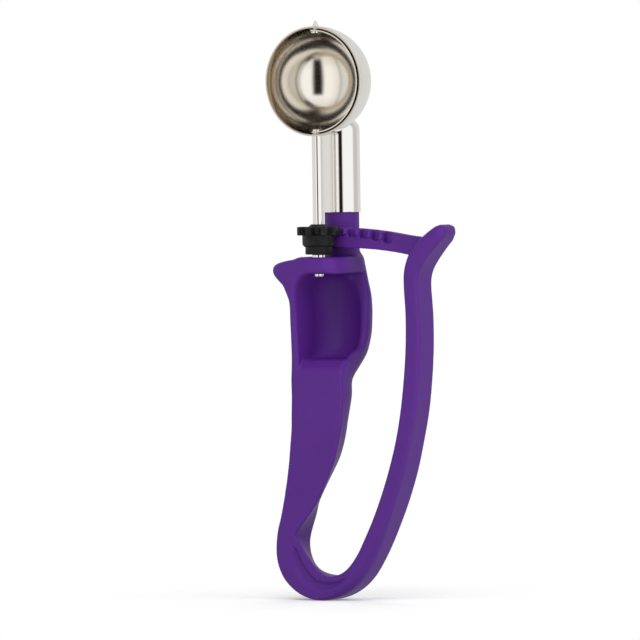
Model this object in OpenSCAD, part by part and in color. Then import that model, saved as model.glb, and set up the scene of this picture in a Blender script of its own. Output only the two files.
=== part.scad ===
// Lever ice cream scoop: a squeeze handle whose rack turns a pinion and sweeps a scraper in the bowl.
// Frame: origin in the middle of the grip, +Z to the bowl, -Y out of the bowl, +X to the lever.

/* [Bowl] */
// Outside diameter of the bowl
bowl_d = 41.3; // [40:0.1:42.5]
// Sheet thickness of the bowl
bowl_wall = 0.8; // [0.6:0.05:1]
// Straight rim ahead of the pivot line
skirt = 2.5; // [2.3:0.1:4]
// Height of the bowl centre above the middle of the grip
bowl_z = 120; // [118:0.5:126]

/* [Scraper] */
// Thickness of the scraper band
blade_t = 0.7; // [0.5:0.05:1]
// Width of the scraper band
blade_w = 4.6; // [4:0.1:4.8]
// Space between the scraper and the inside of the bowl
blade_gap = 0.3; // [0.2:0.05:0.5]
// Diameter of the upper pivot pin
pin_d = 1.9; // [1.6:0.1:2.2]
// Diameter of the pin head inside the bowl
pin_head_d = 3.6; // [3:0.1:4]
// Thickness of the pin head
pin_head_t = 0.7; // [0.5:0.1:1]
// Diameter of the pin collar outside the bowl
pin_collar_d = 2.4; // [2.3:0.05:2.8]
// How far the pin point stands out of the bowl
pin_point = 2.05; // [1.5:0.05:3]
// Radial running clearance of pin and rod
run_gap = 0.06; // [0.03:0.01:0.09]

/* [Drive rod] */
// Diameter of the drive rod
rod_d = 4; // [3.6:0.1:4.2]
// Diameter of the reduced end that carries the scraper
rod_tip_d = 2.4; // [2:0.1:2.8]
// Diameter of the formed head that holds the scraper
rivet_d = 3.6; // [3.2:0.1:4]
// Height of the formed head
rivet_h = 0.8; // [0.6:0.1:1.2]
// How far the rod stands out below the shelf
rod_below = 1.4; // [1:0.1:2]
// Diameter over the knurl that grips the pinion
knurl_d = 4.3; // [4.25:0.01:4.4]

/* [Stem] */
// Outside diameter of the stem tube
tube_d = 14.3; // [13.8:0.1:14.8]
// Wall of the stem tube
tube_wall = 0.6; // [0.5:0.05:0.8]
// Distance of the stem axis behind the drive rod
tube_y = 17.9; // [17.6:0.05:18.2]
// Height of the lower end of the tube
tube_low = 70.6; // [69:0.1:74]
// Reach of the tube's closed end past the bottom of the bowl
tube_reach = 6.25; // [5.5:0.05:7.5]
// Rounding of the closed upper end
tube_round = 4; // [2:0.1:5]
// Length of the spigot inside the tube
spigot_len = 28; // [18:0.5:30]

/* [Pinion] */
// Number of pinion teeth
teeth = 8; // [8:1:8]
// Pitch radius of the pinion
pitch_r = 6.6; // [6.5:0.05:6.65]
// Radius over the tooth tips
tooth_tip_r = 8.1; // [7.9:0.05:8.15]
// Radius at the tooth roots
tooth_root_r = 5.2; // [4.9:0.05:5.3]
// Pressure angle of the teeth
press_a = 25; // [24:0.5:26]
// Play between the teeth along the rack
backlash = 0.3; // [0.24:0.02:0.4]
// Height of the toothed band
tooth_h = 3.2; // [2.8:0.1:3.2]
// Diameter of the plain body under the teeth
body_d = 12.2; // [11.6:0.1:12.2]
// Height of the plain body
body_h = 4.3; // [4.2:0.1:4.4]
// Diameter of the collar under the body
collar_d = 10; // [9:0.1:10.5]
// Height of the collar
collar_h = 2.9; // [2.7:0.1:3]
// Diameter of the hub on top
hub_d = 7.5; // [7:0.1:8]
// Height of the hub on top
hub_h = 0.9; // [0.6:0.1:1.4]

/* [Bush] */
// Outside diameter of the bush in the shelf
bush_d = 5; // [4.9:0.1:5.6]
// Length of the bush inside the shelf
bush_in = 5; // [4:0.1:5.5]
// How far the bush stands above the shelf
bush_up = 1; // [0.9:0.05:1.1]
// Thrust clearance between bush and pinion
thrust_gap = 0.05; // [0.03:0.01:0.09]

/* [Grip] */
// Height of the shelf top
shelf_top = 54; // [53.8:0.05:54.1]
// Thickness of the shelf
shelf_t = 6.3; // [5.8:0.1:7]
// Half width of the shelf
shelf_half = 9; // [8.5:0.1:9.6]
// Half width of the grip at its middle
grip_half = 10.7; // [10:0.1:11.4]
// Half width at the palm swell
palm_half = 12; // [11.4:0.1:12.6]
// Depth of the front face ahead of the drive rod
grip_front = 3; // [2.6:0.1:3.6]
// Depth of the back at the middle of the grip
grip_back = 12; // [11:0.1:13]
// Depth of the back at the palm swell
palm_back = 28; // [26:0.1:29]
// Height of the palm swell
palm_z = 31; // [29:0.5:33]
// Height where the grip meets the spring bow
neck_z = -44; // [-45:0.5:-43]
// Wall of the pocket on its left side
pocket_left = 3.5; // [3:0.1:4]
// Wall of the pocket at the back and right
pocket_wall = 2.8; // [2.4:0.1:3.2]
// Height of the ledge under the pocket
ledge_z = 11.4; // [10.5:0.1:12.5]
// Rise of the ledge from front to back
ledge_rise = 4; // [2:0.1:5]
// How far back the right wall of the pocket is cut
side_cut = 14.5; // [13:0.1:16]
// Reach of the thumb rest to the left
thumb_reach = 20.2; // [18:0.1:22]

/* [Strap] */
// Depth of the strap front face behind the drive rod
strap_front = 2; // [1.6:0.1:2.4]
// Depth of the strap
strap_depth = 12.5; // [12:0.1:13]
// Rounding of the strap edges
strap_round = 1.4; // [0.8:0.1:1.6]
// Height of the flexing centre of the bow
hinge_z = -57; // [-58:0.5:-56]
// Angle where the lever starts on the bow
lever_a = 29; // [25:1:33]
// Depth of the groove in the front of the bow
groove_t = 1.4; // [0.6:0.1:2]

/* [Rack] */
// Drop from the tops of the pinion teeth to the top of the rack arm
arm_drop = 0.45; // [0.2:0.05:0.7]
// Height of the rack arm
arm_h = 7.2; // [6.8:0.1:7.4]
// Depth of the back of the rack arm
arm_back = 10.9; // [10.7:0.05:11]
// Reach of the rack teeth ahead of the pitch line
rack_add = 1.1; // [1:0.05:1.15]
// Clearance over the pinion body, under its teeth and behind their tips
mesh_gap = 0.35; // [0.3:0.05:0.4]

/* [Hidden] */
$fn = 96;
steel = [0.78, 0.77, 0.74];
purple = [0.30, 0.10, 0.52];
black = [0.07, 0.07, 0.08];
over = 1;
far = 60;

bowl_r = bowl_d / 2;
bowl_in = bowl_r - bowl_wall;
blade_out = bowl_in - blade_gap;
blade_in = blade_out - blade_t;
seat = 0.1;
pin_head_top = blade_in - seat;
point_flat = 0.5;

shelf_low = shelf_top - shelf_t;
bush_top = shelf_top + bush_up;
collar_low = bush_top + thrust_gap;
body_low = collar_low + collar_h;
tooth_low = body_low + body_h;
tooth_top = tooth_low + tooth_h;
hub_top = tooth_top + hub_h;
rod_low = shelf_low - rod_below;
rod_bore = rod_d + 2 * run_gap;
dome_h = 0.6;
knurl_n = 12;
ridge_w = 0.5;
tube_in = tube_d / 2 - tube_wall;
tube_top = bowl_z - bowl_r + tube_reach;
spigot_top = tube_low + spigot_len;
boss_flare = 0.8;
flare_h = 3;
chamfer = 1;

pitch_len = 2 * PI * pitch_r / teeth;
pitch_step = 360 / teeth;
base_r = pitch_r * cos(press_a);
rack_line = pitch_r;
rack_tip = rack_line - rack_add;
rack_root = tooth_tip_r + mesh_gap;
band_r = tooth_low - mesh_gap - hinge_z;
front_r = tooth_low + mesh_gap - hinge_z;
arm_top_r = tooth_top - arm_drop - hinge_z;
arm_low_r = arm_top_r - arm_h;
body_clear = body_d / 2 + mesh_gap;
mesh_r = (tooth_low + tooth_top) / 2 - hinge_z;
space_a = 360 * pitch_len / (2 * PI * mesh_r);
first_space = -1;
last_space = 5;
arm_left = 6.5;
teeth_end = 28;
strap_back = strap_front + strap_depth;

// ---- curves ----

function cubic(a, b, c, d, t) =
    0.5 * (2 * b + (c - a) * t + (2 * a - 5 * b + 4 * c - d) * t * t
    + (3 * b - a - 3 * c + d) * t * t * t);

// Smooth curve through the given points, with n steps between neighbours.
function curve(p, n) = [
    for (i = [0 : n * (len(p) - 1)])
        let (k = min(floor(i / n), len(p) - 2))
        cubic(p[max(k - 1, 0)], p[k], p[k + 1], p[min(k + 2, len(p) - 1)], i / n - k)
];

function unit(v) = v / norm(v);

// The curve moved sideways by d, to the left of its direction.
function beside(p, d) = [
    for (i = [0 : len(p) - 1])
        let (v = unit(p[min(i + 1, len(p) - 1)] - p[max(i - 1, 0)]))
        p[i] + d * [-v[1], v[0]]
];

function soft(z, st) = (lookup(z - 2, st) + 2 * lookup(z, st) + lookup(z + 2, st)) / 4;

function power(v, e) = sign(v) * pow(abs(v), e);

// Solid through a stack of closed rings; convex caps, or strips for a two-sided ring.
module stack(rings, strip = false) {
    m = len(rings[0]);
    top = (len(rings) - 1) * m;
    sides = [
        for (k = [0 : len(rings) - 2], i = [0 : m - 1])
            let (j = (i + 1) % m, a = k * m, b = a + m)
            each [[a + i, b + i, b + j], [a + i, b + j, a + j]]
    ];
    flat = [[for (i = [0 : m - 1]) i], [for (i = [m - 1 : -1 : 0]) top + i]];
    bands = [
        for (i = [0 : m / 2 - 2])
            let (u = i, v = i + 1, w = m - 2 - i, x = m - 1 - i)
            each [
                [u, v, w], [u, w, x],
                [top + u, top + w, top + v], [top + u, top + x, top + w]
            ]
    ];
    polyhedron(points = [for (r = rings) each r], faces = concat(sides, strip ? bands : flat));
}

// ---- bowl and scraper ----

module at_bowl() {
    translate([0, 0, bowl_z]) children();
}

module ball_cup(r, h) {
    sphere(r = r);
    rotate([90, 0, 0]) cylinder(r = r, h = h);
}

module bowl() {
    color(steel) at_bowl() difference() {
        ball_cup(bowl_r, skirt);
        ball_cup(bowl_in, bowl_d);
        translate([-bowl_d, -skirt - bowl_d, -bowl_d]) cube([2 * bowl_d, bowl_d, 2 * bowl_d]);
        cylinder(d = pin_d + 2 * run_gap, h = bowl_d);
        translate([0, 0, -bowl_d]) cylinder(d = rod_bore, h = bowl_d);
    }
}

module scraper_blade() {
    color(steel) at_bowl() difference() {
        intersection() {
            difference() {
                sphere(r = blade_out);
                sphere(r = blade_in);
            }
            union() {
                translate([0, -blade_w / 2, -bowl_r]) cube([bowl_r, blade_w, bowl_d]);
                translate([0, 0, -bowl_r]) cylinder(d = blade_w, h = bowl_d);
            }
        }
        cylinder(d = pin_d, h = bowl_d);
        translate([0, 0, -bowl_d]) cylinder(d = rod_tip_d, h = bowl_d);
    }
}

module pivot_pin() {
    color(steel) at_bowl() {
        translate([0, 0, pin_head_top - pin_head_t]) cylinder(d = pin_head_d, h = pin_head_t);
        translate([0, 0, pin_head_top]) cylinder(d = pin_d, h = bowl_r + seat * 2 - pin_head_top);
        translate([0, 0, bowl_r + seat])
            cylinder(d1 = pin_collar_d, d2 = point_flat, h = pin_point - seat);
    }
}

module knurl(d) {
    circle(d = rod_d);
    for (i = [0 : knurl_n / 2 - 1])
        rotate(i * 360 / knurl_n) square([d, ridge_w], center = true);
}

module drive_rod() {
    shoulder = bowl_z - blade_out;
    head = bowl_z - blade_in + seat;
    color(steel) {
        translate([0, 0, rod_low]) cylinder(d1 = rod_d - 2 * dome_h, d2 = rod_d, h = dome_h);
        translate([0, 0, rod_low + dome_h]) cylinder(d = rod_d, h = shoulder - rod_low - dome_h);
        translate([0, 0, body_low]) linear_extrude(body_h) knurl(knurl_d);
        translate([0, 0, shoulder]) cylinder(d = rod_tip_d, h = head - shoulder);
        translate([0, 0, head]) cylinder(d = rivet_d, h = rivet_h);
    }
}

// ---- pinion and bush ----

function inv(a) = tan(a) * 180 / PI - a;

tooth_half_a = (pitch_len / 2 - backlash / 2) / pitch_r * 90 / PI;

function flank_a(r) = tooth_half_a + inv(press_a) - inv(acos(min(1, base_r / r)));

flank_n = 6;

function flank_r(i) = base_r + (tooth_tip_r - base_r) * i / flank_n;

function polar(r, a) = [r * cos(a), r * sin(a)];

function tooth(a) = concat(
    [polar(tooth_root_r, a - flank_a(base_r))],
    [for (i = [0 : flank_n]) polar(flank_r(i), a - flank_a(flank_r(i)))],
    [for (i = [flank_n : -1 : 0]) polar(flank_r(i), a + flank_a(flank_r(i)))],
    [polar(tooth_root_r, a + flank_a(base_r))]
);

module pinion() {
    color(black) difference() {
        union() {
            translate([0, 0, collar_low]) cylinder(d = collar_d, h = collar_h);
            translate([0, 0, body_low]) cylinder(d = body_d, h = body_h);
            translate([0, 0, tooth_low]) linear_extrude(tooth_h)
                polygon([for (k = [0 : teeth - 1]) each tooth(k * pitch_step)]);
            translate([0, 0, tooth_top]) cylinder(d = hub_d, h = hub_h);
        }
        translate([0, 0, collar_low - over]) cylinder(d = rod_d, h = hub_top + 2 * over - collar_low);
        translate([0, 0, body_low]) linear_extrude(body_h) knurl(knurl_d);
    }
}

module shelf_bush() {
    color(steel) translate([0, 0, shelf_top - bush_in]) difference() {
        cylinder(d = bush_d, h = bush_in + bush_up);
        translate([0, 0, -over]) cylinder(d = rod_bore, h = bush_in + bush_up + 2 * over);
    }
}

// ---- stem tube ----

module closed_tube(r, low, high, round_r) {
    translate([0, tube_y, 0]) rotate_extrude() polygon(concat(
        [[0, low], [r, low]],
        [for (a = [0 : 10 : 90]) [r - round_r * (1 - cos(a)), high - round_r * (1 - sin(a))]],
        [[0, high]]
    ));
}

module shaft_tube() {
    color(steel) difference() {
        closed_tube(tube_d / 2, tube_low, tube_top, tube_round);
        closed_tube(tube_in, tube_low - over, tube_top - tube_wall, tube_round - tube_wall);
        at_bowl() sphere(r = bowl_r);
    }
}

// ---- grip ----

// Each edge of the grip section is a smooth run of [height, place] stations.
left_st = [[neck_z, -18.7], [-31, -14.9], [-22, -12.6], [-10, -grip_half - 0.3],
    [2, -grip_half], [14, -grip_half], [palm_z, -palm_half + 0.4], [40, -palm_half],
    [shelf_low, -shelf_half - 1.6], [shelf_top, -shelf_half]];
right_front_st = [[neck_z, -7.6], [-38, -2.5], [-31, 0.4], [-22, 4.9], [-10, grip_half - 1.8],
    [2, grip_half + 0.2], [14, grip_half], [palm_z, palm_half - 0.4], [40, palm_half],
    [shelf_low, shelf_half + 1.6], [shelf_top, shelf_half]];
right_back_st = [[neck_z, -10.9], [-38, -9.2], [-31, -5], [-22, 1], [-10, grip_half - 3.5],
    [2, grip_half + 0.2], [14, grip_half], [palm_z, palm_half - 0.4], [40, palm_half],
    [shelf_low, shelf_half + 1.6], [shelf_top, shelf_half]];
front_st = [[neck_z, strap_front - 0.6], [-31, -1.4], [-20, -grip_front], [40, -grip_front],
    [shelf_low, -grip_front - 2], [shelf_top, -grip_front - 2]];
middle_st = [[neck_z, 8], [-31, 4], [-10, 1], [8, 0.5], [12, 5.5], [17, 12],
    [palm_z - 6, 16], [palm_z + 2, 16], [44, 13.8], [shelf_top, 14.5]];
back_st = [[neck_z, strap_back - 0.8], [-10, grip_back + 0.3], [8, grip_back + 0.3],
    [12, grip_back + 6], [17, palm_back - 4], [palm_z - 4, palm_back], [palm_z + 4, palm_back],
    [44, palm_back - 2], [shelf_top, tube_y + tube_d / 2 - 0.6]];

section_n = 40;
front_square = 2 / 7;
back_square = 2 / 2.2;

// Closed section at height z, moved in by the given walls; a front of undef keeps the own front.
function section(z, left_wall = 0, wall = 0, front = undef) =
    let (
        yf = is_undef(front) ? soft(z, front_st) : front,
        yc = soft(z, middle_st),
        yb = soft(z, back_st) - wall,
        xl = soft(z, left_st) + left_wall,
        xf = soft(z, right_front_st) - wall,
        xb = soft(z, right_back_st) - wall
    )
    [for (i = [0 : section_n - 1])
        let (
            a = 360 * (i + 0.5) / section_n,
            e = sin(a) < 0 ? front_square : back_square,
            py = power(sin(a), e),
            px = power(cos(a), e),
            y = yc + py * (py < 0 ? yc - yf : yb - yc),
            v = max(0, min(1, (y - yf) / (yb - yf))),
            xr = xf + (xb - xf) * v,
            xm = (xl + xr) / 2
        )
        [xm + px * (xr - xl) / 2, y, z]];

module along_x(x0, x1) {
    translate([x0, 0, 0]) rotate([90, 0, 90]) linear_extrude(x1 - x0) children();
}

module along_y(y0, y1) {
    translate([0, y1, 0]) rotate([90, 0, 0]) linear_extrude(y1 - y0) children();
}

side_front = 3;

module pocket() {
    intersection() {
        union() {
            stack([for (z = [ledge_z - 2 : 2 : shelf_low + 2])
                section(z, pocket_left, pocket_wall, -far / 4)]);
            along_x(grip_half / 3, far / 2) polygon(concat(
                [[-far / 4, ledge_z - 2]],
                curve([[side_front, ledge_z - 2], [side_front + 0.5, ledge_z + 4.2],
                    [side_front + 4, ledge_z + 6.6], [side_cut - 3.5, ledge_z + 9.1],
                    [side_cut - 1.2, ledge_z + 13.6], [side_cut - 0.3, palm_z + 2],
                    [side_cut, shelf_low + 2]], 3),
                [[-far / 4, shelf_low + 2]]
            ));
        }
        along_x(-far / 2, far / 2) polygon([[-far / 4, ledge_z - 0.3],
            [-grip_front, ledge_z], [palm_back, ledge_z + ledge_rise],
            [palm_back, shelf_low], [-far / 4, shelf_low]]);
    }
}

module thumb_rest() {
    intersection() {
        along_y(-far / 4, far / 2) polygon(curve([[-shelf_half + 3, shelf_top],
            [-shelf_half + 1, shelf_top - 0.3], [-12, shelf_top - 1],
            [-thumb_reach + 3.3, shelf_top - 2], [-thumb_reach + 0.7, shelf_top - 3.2],
            [-thumb_reach, shelf_top - 4.6], [-thumb_reach + 0.9, shelf_top - 5.9],
            [-thumb_reach + 3.3, shelf_top - 7.4], [-14.2, shelf_top - 9.8],
            [-12.1, shelf_top - 13.5], [-palm_half + 0.6, shelf_top - 18],
            [-palm_half + 1.2, shelf_top - 20], [-palm_half + 2.6, shelf_top - 18],
            [-palm_half + 3.2, shelf_top - 8], [-shelf_half + 3, shelf_top - 2]], 3));
        translate([0, 0, shelf_low - far / 3]) linear_extrude(far) polygon(curve([
            [-shelf_half + 3.5, -grip_front - 1.8], [-shelf_half - 1, -grip_front - 1.6],
            [-15, -grip_front - 0.6], [-thumb_reach + 1.2, -grip_front + 1.6],
            [-thumb_reach, 2.5], [-thumb_reach + 1.4, 6.4], [-15, 9.6],
            [-shelf_half - 1, 12.5], [-shelf_half + 3.5, 14]], 4));
    }
}

module handle_grip() {
    color(purple) difference() {
        union() {
            difference() {
                stack([for (z = [neck_z : (shelf_top - neck_z) / 49 : shelf_top]) section(z)]);
                pocket();
            }
            thumb_rest();
            translate([0, tube_y, shelf_low]) cylinder(r = tube_in, h = spigot_top - chamfer - shelf_low);
            translate([0, tube_y, spigot_top - chamfer])
                cylinder(r1 = tube_in, r2 = tube_in - chamfer, h = chamfer);
            translate([0, tube_y, shelf_top])
                cylinder(r1 = tube_in + boss_flare, r2 = tube_in, h = flare_h);
        }
        translate([0, 0, shelf_top - bush_in]) cylinder(d = bush_d, h = bush_in + over);
        translate([0, 0, shelf_low - over]) cylinder(d = rod_bore, h = shelf_t);
    }
}

// ---- strap: bow and lever ----

outer_edge = curve([[-18.7, neck_z], [-20.5, -49], [-21.7, -54], [-21.6, -59], [-19.9, -64],
    [-16.5, -68.6], [-11, -72.6], [-4, -75], [3, -73.7], [9.5, -70.2], [14.5, -65.6],
    [18.8, -59.5], [22.4, -53], [25.9, -45.5], [29.6, -37], [33.2, -26.5], [36.2, -15],
    [38.5, -4], [40.1, 8], [40.9, 20], [40.9, 32], [40.2, 43], [40.9, 48.5], [43, 53],
    [46.5, 57.2], [50.3, 61], [51.5, 63.6]], 4);
inner_back = curve([[-10.9, neck_z], [-12.6, -49.5], [-13.8, -54], [-13.4, -58.5],
    [-11.6, -62.6], [-7.8, -65.6], [-1.5, -66.6], [4.4, -65.9], [9.2, -63.2], [13.4, -58],
    [16.7, -52], [20.2, -45], [23.6, -37], [27.4, -26.5], [30.7, -15], [32.9, -4], [34.5, 8],
    [35.5, 20], [35.7, 32], [35.1, 43], [35.3, 48.5], [36.6, 53], [38.6, 57.4], [42, 61.4],
    [45.6, 64.6], [49, 66.2], [50.8, 65.6]], 4);
inner_front = curve([[-7.6, neck_z], [-12.4, -49.2], [-12.9, -52.5], [-9.6, -56.8],
    [-5.9, -61.2], [-3.2, -64.4], [0.2, -66.2], [4.8, -65.8], [9.2, -63.2], [13.4, -58],
    [16.7, -52], [20.2, -45], [23.6, -37], [27.4, -26.5], [30.7, -15], [32.9, -4], [34.5, 8],
    [35.5, 20], [35.7, 32], [35.1, 43], [35.3, 48.5], [36.6, 53], [38.6, 57.4], [42, 61.4],
    [45.6, 64.6], [49, 66.2], [50.8, 65.6]], 4);

function at_depth(p, y) = [for (q = p) [q[0], y, q[1]]];

function turned(p) = [for (i = [len(p) - 1 : -1 : 0]) p[i]];

// One closed ring of the strap: v runs from the back edge (0) to the front edge (1).
function strap_ring(v, d) =
    let (inner = inner_back * (1 - v) + inner_front * v, y = strap_back - strap_depth * v)
    concat(at_depth(beside(outer_edge, d), y), turned(at_depth(beside(inner, -d), y)));

edge_v = strap_round / strap_depth;

module strap() {
    stack([strap_ring(0, strap_round), strap_ring(edge_v / 3, strap_round / 3),
        strap_ring(edge_v, 0), strap_ring(1 - edge_v, 0),
        strap_ring(1 - edge_v / 3, strap_round / 3), strap_ring(1, strap_round)], strip = true);
}

// Everything on the bow side of the plane through the flexing centre, up to the given height.
module bow_side(high) {
    translate([0, -far, hinge_z]) {
        translate([-far, 0, -far]) cube([far, 2 * far, far + high - hinge_z]);
        rotate([0, -lever_a, 0]) translate([0, 0, -far]) cube([far, 2 * far, far]);
        translate([-far, 0, -far]) cube([2 * far, 2 * far, far]);
    }
}

module groove() {
    along_y(strap_front - over, strap_front + groove_t) polygon(concat(
        curve([[-14, -55.5], [-14.2, -61.5], [-11.6, -66.6], [-8.3, -69.2], [-4.2, -70.8],
            [0.8, -70.6], [4.8, -69.2], [8, -67]], 4),
        curve([[5, -68.2], [0, -68.7], [-4, -67.9], [-7.6, -65.2], [-10.8, -61], [-12.8, -56.5]], 4)
    ));
}

module spring_bow() {
    color(purple) difference() {
        intersection() {
            strap();
            bow_side(neck_z);
        }
        groove();
    }
}

module squeeze_lever() {
    color(purple) difference() {
        strap();
        bow_side(neck_z + far / 4);
    }
}

// ---- rack arm ----

module arm_outline() {
    polygon(concat(
        [for (x = [-arm_left : 2 : 24]) [x, hinge_z + sqrt(pow(arm_top_r, 2) - x * x)]],
        curve([[28, 62.1], [33, 61.3], [38, 60.9], [40.5, 61.4], [41.5, 60]], 3),
        curve([[39, 52], [36.6, 50.5], [35.6, 52.6], [33.5, 54.6], [29, 55.6]], 3),
        [for (x = [24 : -2 : -arm_left]) [x, hinge_z + sqrt(pow(arm_low_r, 2) - x * x)]]
    ));
}

module about_hinge(a) {
    translate([0, 0, hinge_z]) rotate([0, a, 0]) children();
}

function space_half(y) = (pitch_len + backlash) / 4 - (y - rack_line) * tan(press_a);

module rack_space() {
    deep = rack_root;
    near = rack_tip - over;
    linear_extrude(far) polygon([[-space_half(near), near], [space_half(near), near],
        [space_half(deep), deep], [-space_half(deep), deep]]);
}

module rack_arm() {
    color(purple) difference() {
        along_y(rack_tip, arm_back) arm_outline();
        translate([0, 0, hinge_z]) rotate([90, 0, 0]) translate([0, 0, -body_clear])
            cylinder(r = front_r, h = far);
        translate([teeth_end, rack_tip - over, -far]) cube([far, over + body_clear - rack_tip, 3 * far]);
        for (k = [first_space : last_space])
            about_hinge(k * space_a) translate([0, 0, band_r]) rack_space();
        strap();
    }
}

bowl();
scraper_blade();
pivot_pin();
drive_rod();
pinion();
shelf_bush();
shaft_tube();
handle_grip();
spring_bow();
squeeze_lever();
rack_arm();
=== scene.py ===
"""Lever ice cream scoop: modelled surfaces, finishes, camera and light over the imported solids.

Sizes are in millimetres and become metres in mesh_object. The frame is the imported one: the
drive rod runs up +Z, the bowl opens towards -Y and the squeeze lever is on the +X side.
"""

import logging
import math
from dataclasses import dataclass
from enum import Enum
from typing import Any, Callable, Optional, Sequence

import bmesh
import bpy
import numpy as np
from mathutils import Matrix, Vector


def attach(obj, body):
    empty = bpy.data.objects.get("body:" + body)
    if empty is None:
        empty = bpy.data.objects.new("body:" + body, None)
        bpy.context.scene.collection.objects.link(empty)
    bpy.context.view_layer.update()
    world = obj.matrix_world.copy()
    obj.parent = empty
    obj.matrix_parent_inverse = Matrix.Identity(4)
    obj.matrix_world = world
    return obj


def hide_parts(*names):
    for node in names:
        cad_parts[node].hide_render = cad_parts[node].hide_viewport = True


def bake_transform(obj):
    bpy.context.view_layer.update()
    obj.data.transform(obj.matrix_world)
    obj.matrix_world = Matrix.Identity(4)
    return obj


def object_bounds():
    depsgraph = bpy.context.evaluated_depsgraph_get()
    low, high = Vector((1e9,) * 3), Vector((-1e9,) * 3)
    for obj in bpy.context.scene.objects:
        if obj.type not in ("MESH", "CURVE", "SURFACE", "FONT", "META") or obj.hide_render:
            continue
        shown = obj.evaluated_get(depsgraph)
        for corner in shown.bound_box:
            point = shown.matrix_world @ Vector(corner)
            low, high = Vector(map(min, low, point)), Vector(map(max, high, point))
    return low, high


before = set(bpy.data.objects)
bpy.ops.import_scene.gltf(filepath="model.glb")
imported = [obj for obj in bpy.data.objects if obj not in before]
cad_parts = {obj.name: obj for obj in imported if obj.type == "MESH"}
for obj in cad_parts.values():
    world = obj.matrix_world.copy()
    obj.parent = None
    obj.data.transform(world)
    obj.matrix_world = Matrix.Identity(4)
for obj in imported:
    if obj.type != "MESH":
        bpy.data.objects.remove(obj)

Array = np.ndarray
Rows = Sequence[Sequence[float]]
Field = Callable[[Array, Array, Array], Array]

MM = 0.001
CAD_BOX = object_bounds()
LOG = logging.getLogger("scoop")


class Body(Enum):
    """The three moving bodies of the scoop."""

    HANDLE = "handle"
    LEVER = "lever"
    SCRAPER = "scraper"


class Slot(Enum):
    """The record's material slots."""

    BOWL = "bowl_steel"
    BRIGHT = "bright_steel"
    BLACK = "black_plastic"
    PURPLE = "purple_plastic"


# ---- profiles and grids ----


def unit(v: Array) -> Array:
    """Vectors along the last axis, scaled to length one."""
    return v / np.maximum(np.linalg.norm(v, axis=-1, keepdims=True), 1e-12)


def ramp(at: Array, start: Any, end: Any) -> Array:
    """Share of the way from start to end, held to 0..1."""
    return np.clip((at - start) / (end - start), 0, 1)


def smoothstep(share: Array) -> Array:
    """The share made level at both ends: 3 t^2 - 2 t^3."""
    return share**2 * (3 - 2 * share)


def smooth_curve(points: Rows, steps: int = 4) -> Array:
    """Catmull-Rom curve through the points, its ends repeated.

    Args:
        points: Control points in the plane.
        steps: Samples from one control point to the next.

    Returns:
        The sampled curve, one row for each point.
    """
    p = np.asarray(points, float)
    i = np.arange(steps * (len(p) - 1) + 1)
    k = np.minimum(i // steps, len(p) - 2)
    t = (i / steps - k)[:, None]
    a, b = p[np.maximum(k - 1, 0)], p[k]
    c, d = p[k + 1], p[np.minimum(k + 2, len(p) - 1)]
    square = (2 * a - 5 * b + 4 * c - d) * t**2
    return 0.5 * (2 * b + (c - a) * t + square + (3 * b - a - 3 * c + d) * t**3)


def eased(corners: Rows, cuts: Sequence[float], steps: int = 5) -> Array:
    """Profile whose corners are rounded by quadratic curves.

    Each corner P is left at P + cut * (towards the last corner), reached again at P + cut *
    (towards the next one), and the curve between them has P as its control point.

    Args:
        corners: The profile's corners, (radius, height).
        cuts: How far each corner is cut back; 0 keeps it sharp.
        steps: Samples on each corner.

    Returns:
        The rounded profile.
    """
    p = np.asarray(corners, float)
    cut = np.asarray(cuts, float)[:, None]
    start = p + cut * unit(np.roll(p, 1, 0) - p)
    end = p + cut * unit(np.roll(p, -1, 0) - p)
    t = np.linspace(0, 1, steps)[None, :, None]
    curve = (1 - t) ** 2 * start[:, None] + 2 * t * (1 - t) * p[:, None] + t**2 * end[:, None]
    return curve.reshape(-1, 2)


def grid_faces(rows: int, columns: int, loop_rows: bool = False) -> Array:
    """Quads of a grid whose columns close on themselves.

    Args:
        rows: Rows of points.
        columns: Points in a row.
        loop_rows: Whether the rows close on themselves too.

    Returns:
        Four point numbers for each quad.
    """
    row = np.arange(rows if loop_rows else rows - 1)[:, None]
    column = np.arange(columns)[None, :]
    after = (row + 1) % rows
    beside = (column + 1) % columns
    quads = [row * columns + column, after * columns + column, after * columns + beside]
    quads.append(row * columns + beside)
    return np.stack(np.broadcast_arrays(*quads), axis=-1).reshape(-1, 4)


def turned(profile: Array, around: int = 128, centre: Sequence[float] = (0, 0)) -> Array:
    """Surface of revolution about a line along Z.

    The point at angle a is (cx + r cos a, cy + r sin a, h) for each (r, h) of the profile.

    Args:
        profile: Radius and height, one row for each ring.
        around: Points on each ring.
        centre: X and Y of the line.

    Returns:
        Rings by points by three coordinates.
    """
    a = np.linspace(0, 2 * np.pi, around, endpoint=False)
    r, h = profile[:, :1], profile[:, 1:]
    x, y = centre[0] + r * np.cos(a), centre[1] + r * np.sin(a)
    return np.stack([x, y, np.broadcast_to(h, x.shape)], axis=-1)


# ---- objects ----


def stand(name: str, data: bpy.types.ID) -> bpy.types.Object:
    """New object, linked into the scene.

    Args:
        name: Its name.
        data: The mesh, lamp or camera that it shows.

    Returns:
        The object.
    """
    obj = bpy.data.objects.new(name, data)
    bpy.context.scene.collection.objects.link(obj)
    return obj


def mesh_object(
    name: str, points: Array, faces: Array, mend: Callable[[bmesh.types.BMesh], None]
) -> bpy.types.Object:
    """Smooth object at the origin, in metres, with its faces turned outward.

    Args:
        name: The piece's name.
        points: Its points in millimetres.
        faces: Its quads.
        mend: What is done to the mesh first.

    Returns:
        The object.
    """
    mesh = bpy.data.meshes.new(name)
    mesh.from_pydata((points * MM).tolist(), [], faces.tolist())
    work = bmesh.new()
    work.from_mesh(mesh)
    mend(work)
    bmesh.ops.recalc_face_normals(work, faces=work.faces)
    work.to_mesh(mesh)
    work.free()
    mesh.polygons.foreach_set("use_smooth", np.ones(len(mesh.polygons), bool))
    return stand(name, mesh)


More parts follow.
